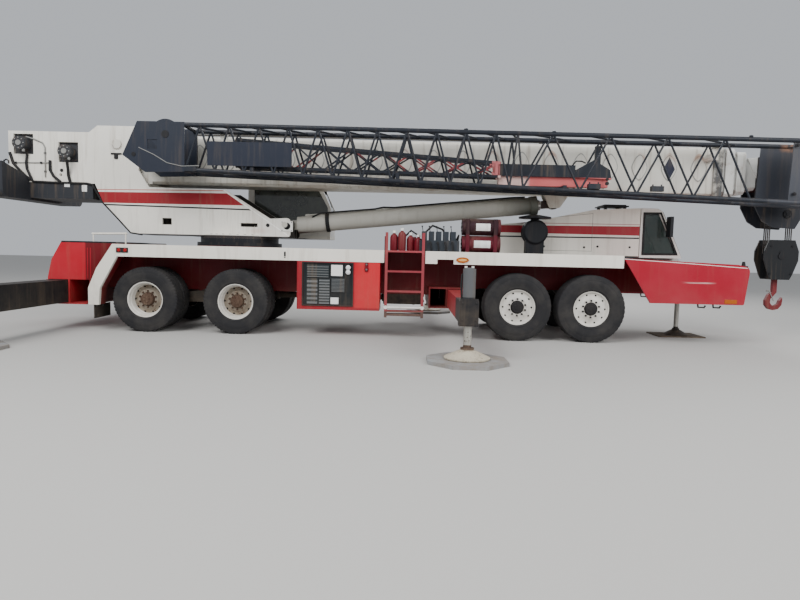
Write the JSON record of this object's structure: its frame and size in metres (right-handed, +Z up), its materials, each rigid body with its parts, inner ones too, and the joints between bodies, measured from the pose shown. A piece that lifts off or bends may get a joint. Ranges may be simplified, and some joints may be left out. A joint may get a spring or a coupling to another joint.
{
  "type": "mobile crane",
  "caption": "Wheeled mobile crane with a telescoping box boom, stowed lattice jib, slewing upper works and outriggers set out on ground pads.",
  "frame": {"origin": "on the ground, at the middle of the whole crane's length and width", "axes": "+X forwards, towards the carrier's cab; +Y to the driver's left; +Z up"},
  "size_m": [14.2, 7.76, 3.52],
  "materials": {
    "white_paint": "weathered gloss",
    "red_paint": "weathered gloss",
    "black_paint": "satin",
    "grey_paint": "satin",
    "navy_paint": "satin",
    "bare_steel": "worn",
    "chrome_rod": "polished",
    "tyre_rubber": "matte",
    "flap_rubber": "matte",
    "pad_composite": "matte",
    "window_glass": "clear",
    "lamp_lens": "gloss",
    "seat_vinyl": "satin",
    "engine_iron": "oily"
  },
  "bodies": {
    "carrier": {"chassis_frame": "red_paint", "deck": "white_paint", "front_body": "red_paint", "carrier_cab": "white_paint", "carrier_cab_glass": "window_glass", "carrier_cab_interior": "seat_vinyl", "engine_hood": "white_paint", "engine_block": "engine_iron", "air_cleaner": "black_paint", "deck_equipment": "black_paint", "toolbox": "red_paint", "fuel_tank": "grey_paint", "ladders": "red_paint", "mud_flaps": "flap_rubber", "lamps": "lamp_lens", "drive_axles": "black_paint", "steer_axles": "black_paint", "ground_pads": "pad_composite"},
    "carrier_cab_door": {"carrier_cab_door": "white_paint"},
    "toolbox_door": {"toolbox_door": "red_paint"},
    "wheel_drive_1_right": {"wheel_drive_1_right": "tyre_rubber"},
    "wheel_drive_1_left": {"wheel_drive_1_left": "tyre_rubber"},
    "wheel_drive_2_right": {"wheel_drive_2_right": "tyre_rubber"},
    "wheel_drive_2_left": {"wheel_drive_2_left": "tyre_rubber"},
    "knuckle_steer_1_right": {"knuckle_steer_1_right": "black_paint"},
    "wheel_steer_1_right": {"wheel_steer_1_right": "tyre_rubber"},
    "knuckle_steer_1_left": {"knuckle_steer_1_left": "black_paint"},
    "wheel_steer_1_left": {"wheel_steer_1_left": "tyre_rubber"},
    "knuckle_steer_2_right": {"knuckle_steer_2_right": "black_paint"},
    "wheel_steer_2_right": {"wheel_steer_2_right": "tyre_rubber"},
    "knuckle_steer_2_left": {"knuckle_steer_2_left": "black_paint"},
    "wheel_steer_2_left": {"wheel_steer_2_left": "tyre_rubber"},
    "outrigger_beam_mid_right": {"outrigger_beam_mid_right": "black_paint"},
    "outrigger_jack_mid_right": {"outrigger_jack_mid_right": "chrome_rod"},
    "outrigger_beam_mid_left": {"outrigger_beam_mid_left": "black_paint"},
    "outrigger_jack_mid_left": {"outrigger_jack_mid_left": "chrome_rod"},
    "outrigger_beam_rear_right": {"outrigger_beam_rear_right": "black_paint"},
    "outrigger_jack_rear_right": {"outrigger_jack_rear_right": "chrome_rod"},
    "outrigger_beam_rear_left": {"outrigger_beam_rear_left": "black_paint"},
    "outrigger_jack_rear_left": {"outrigger_jack_rear_left": "chrome_rod"},
    "front_jack": {"front_jack": "chrome_rod"},
    "upper": {"upper_frame": "white_paint", "winch_motors": "black_paint", "counterweight": "black_paint", "operator_cab": "white_paint", "operator_cab_glass": "window_glass", "operator_cab_interior": "seat_vinyl"},
    "operator_cab_door": {"operator_cab_door": "white_paint"},
    "main_winch_drum": {"main_winch_drum": "bare_steel"},
    "aux_winch_drum": {"aux_winch_drum": "bare_steel"},
    "boom": {"boom_base": "white_paint", "fly_jib": "navy_paint", "jib_extension": "navy_paint"},
    "boom_section_1": {"boom_section_1": "white_paint"},
    "boom_section_2": {"boom_section_2": "white_paint"},
    "boom_tip": {"boom_tip": "black_paint"},
    "lift_cylinder_barrel": {"lift_cylinder_barrel": "grey_paint"},
    "lift_cylinder_rod": {"lift_cylinder_rod": "chrome_rod"},
    "hook_block": {"hook_block": "black_paint", "hoist_ropes": "bare_steel"}
  },
  "joints": [
    {"name": "wheel_drive_1_right_spin", "type": "hinge", "parent": "carrier", "child": "wheel_drive_1_right", "pos_m": [-4.355, -1.1425, 0.5425], "axis": [0, 1, 0], "continuous": true},
    {"name": "wheel_drive_2_right_spin", "type": "hinge", "parent": "carrier", "child": "wheel_drive_2_right", "pos_m": [-2.845, -1.1425, 0.5425], "axis": [0, 1, 0], "continuous": true},
    {"name": "steer_1_right", "type": "hinge", "parent": "carrier", "child": "knuckle_steer_1_right", "pos_m": [1.84, -0.94, 0.562], "axis": [0, 0, 1], "range_deg": [-26, 26]},
    {"name": "wheel_steer_1_right_spin", "type": "hinge", "parent": "knuckle_steer_1_right", "child": "wheel_steer_1_right", "pos_m": [1.84, -1.085, 0.562], "axis": [0, 1, 0], "continuous": true},
    {"name": "steer_2_right", "type": "hinge", "parent": "carrier", "child": "knuckle_steer_2_right", "pos_m": [3.06, -0.94, 0.562], "axis": [0, 0, 1], "range_deg": [-30, 30]},
    {"name": "wheel_steer_2_right_spin", "type": "hinge", "parent": "knuckle_steer_2_right", "child": "wheel_steer_2_right", "pos_m": [3.06, -1.085, 0.562], "axis": [0, 1, 0], "continuous": true},
    {"name": "wheel_drive_1_left_spin", "type": "hinge", "parent": "carrier", "child": "wheel_drive_1_left", "pos_m": [-4.355, 1.1425, 0.5425], "axis": [0, 1, 0], "continuous": true},
    {"name": "wheel_drive_2_left_spin", "type": "hinge", "parent": "carrier", "child": "wheel_drive_2_left", "pos_m": [-2.845, 1.1425, 0.5425], "axis": [0, 1, 0], "continuous": true},
    {"name": "steer_1_left", "type": "hinge", "parent": "carrier", "child": "knuckle_steer_1_left", "pos_m": [1.84, 0.94, 0.562], "axis": [0, 0, 1], "range_deg": [-26, 26]},
    {"name": "wheel_steer_1_left_spin", "type": "hinge", "parent": "knuckle_steer_1_left", "child": "wheel_steer_1_left", "pos_m": [1.84, 1.085, 0.562], "axis": [0, 1, 0], "continuous": true},
    {"name": "steer_2_left", "type": "hinge", "parent": "carrier", "child": "knuckle_steer_2_left", "pos_m": [3.06, 0.94, 0.562], "axis": [0, 0, 1], "range_deg": [-30, 30]},
    {"name": "wheel_steer_2_left_spin", "type": "hinge", "parent": "knuckle_steer_2_left", "child": "wheel_steer_2_left", "pos_m": [3.06, 1.085, 0.562], "axis": [0, 1, 0], "continuous": true},
    {"name": "outrigger_mid_right_extend", "type": "slide", "parent": "carrier", "child": "outrigger_beam_mid_right", "axis": [0, -1, 0], "range_m": [-2.165, 0]},
    {"name": "outrigger_mid_right_jack_lift", "type": "slide", "parent": "outrigger_beam_mid_right", "child": "outrigger_jack_mid_right", "axis": [0, 0, 1], "range_m": [0, 0.22]},
    {"name": "outrigger_mid_left_extend", "type": "slide", "parent": "carrier", "child": "outrigger_beam_mid_left", "axis": [0, 1, 0], "range_m": [-2.165, 0]},
    {"name": "outrigger_mid_left_jack_lift", "type": "slide", "parent": "outrigger_beam_mid_left", "child": "outrigger_jack_mid_left", "axis": [0, 0, 1], "range_m": [0, 0.22]},
    {"name": "outrigger_rear_right_extend", "type": "slide", "parent": "carrier", "child": "outrigger_beam_rear_right", "axis": [0, -1, 0], "range_m": [-2.165, 0]},
    {"name": "outrigger_rear_right_jack_lift", "type": "slide", "parent": "outrigger_beam_rear_right", "child": "outrigger_jack_rear_right", "axis": [0, 0, 1], "range_m": [0, 0.22]},
    {"name": "outrigger_rear_left_extend", "type": "slide", "parent": "carrier", "child": "outrigger_beam_rear_left", "axis": [0, 1, 0], "range_m": [-2.165, 0]},
    {"name": "outrigger_rear_left_jack_lift", "type": "slide", "parent": "outrigger_beam_rear_left", "child": "outrigger_jack_rear_left", "axis": [0, 0, 1], "range_m": [0, 0.22]},
    {"name": "front_jack_lift", "type": "slide", "parent": "carrier", "child": "front_jack", "axis": [0, 0, 1], "range_m": [0, 0.22]},
    {"name": "carrier_cab_door_hinge", "type": "hinge", "parent": "carrier", "child": "carrier_cab_door", "pos_m": [5.063, 1.302, 1.3], "axis": [0, 0, -1], "range_deg": [0, 70]},
    {"name": "toolbox_door_hinge", "type": "hinge", "parent": "carrier", "child": "toolbox_door", "pos_m": [-1.81, -1.29, 0.85], "axis": [0, 0, -1], "range_deg": [0, 100]},
    {"name": "slew", "type": "hinge", "parent": "carrier", "child": "upper", "pos_m": [-3.115, 0, 1.6], "axis": [0, 0, 1], "continuous": true},
    {"name": "operator_cab_door_slide", "type": "slide", "parent": "upper", "child": "operator_cab_door", "axis": [-1, 0, 0], "range_m": [0, 0.6]},
    {"name": "main_winch_spin", "type": "hinge", "parent": "upper", "child": "main_winch_drum", "pos_m": [-6.815, 0, 3.175], "axis": [0, 1, 0], "continuous": true},
    {"name": "aux_winch_spin", "type": "hinge", "parent": "upper", "child": "aux_winch_drum", "pos_m": [-6.02, 0, 3.047], "axis": [0, 1, 0], "continuous": true},
    {"name": "boom_lift", "type": "hinge", "parent": "upper", "child": "boom", "pos_m": [-5.157, 0, 3.208], "axis": [0, -1, 0], "range_deg": [0, 78]},
    {"name": "boom_section_1_extend", "type": "slide", "parent": "boom", "child": "boom_section_1", "axis": [1, 0, 0], "range_m": [0, 7.7]},
    {"name": "boom_section_2_extend", "type": "slide", "parent": "boom_section_1", "child": "boom_section_2", "axis": [1, 0, 0], "range_m": [0, 7.7]},
    {"name": "boom_tip_extend", "type": "slide", "parent": "boom_section_2", "child": "boom_tip", "axis": [1, 0, 0], "range_m": [0, 7.7]},
    {"name": "lift_cylinder_swing", "type": "hinge", "parent": "upper", "child": "lift_cylinder_barrel", "pos_m": [-2.19, 0, 1.865], "axis": [0, -1, 0], "range_deg": [0, 87.62]},
    {"name": "lift_cylinder_extend", "type": "slide", "parent": "lift_cylinder_barrel", "child": "lift_cylinder_rod", "axis": [0.9945, 0, 0.1048], "range_m": [0, 3.96]},
    {"name": "hook_block_swing", "type": "hinge", "parent": "boom_tip", "child": "hook_block", "pos_m": [6.79, 0, 2.27], "axis": [0, -1, 0], "range_deg": [-78.2, 5]}
  ],
  "couplings": [
    {"joint": "steer_2_left", "follows": "steer_2_right", "ratio": 1},
    {"joint": "steer_1_right", "follows": "steer_2_right", "ratio": 0.82},
    {"joint": "steer_1_left", "follows": "steer_2_right", "ratio": 0.82},
    {"joint": "boom_section_2_extend", "follows": "boom_section_1_extend", "ratio": 1},
    {"joint": "boom_tip_extend", "follows": "boom_section_1_extend", "ratio": 1},
    {"joint": "lift_cylinder_swing", "follows": "boom_lift", "ratio": 1.1208},
    {"joint": "lift_cylinder_extend", "follows": "boom_lift", "m_per_rad": 2.9054},
    {"joint": "hook_block_swing", "follows": "boom_lift", "ratio": -1}
  ]
}
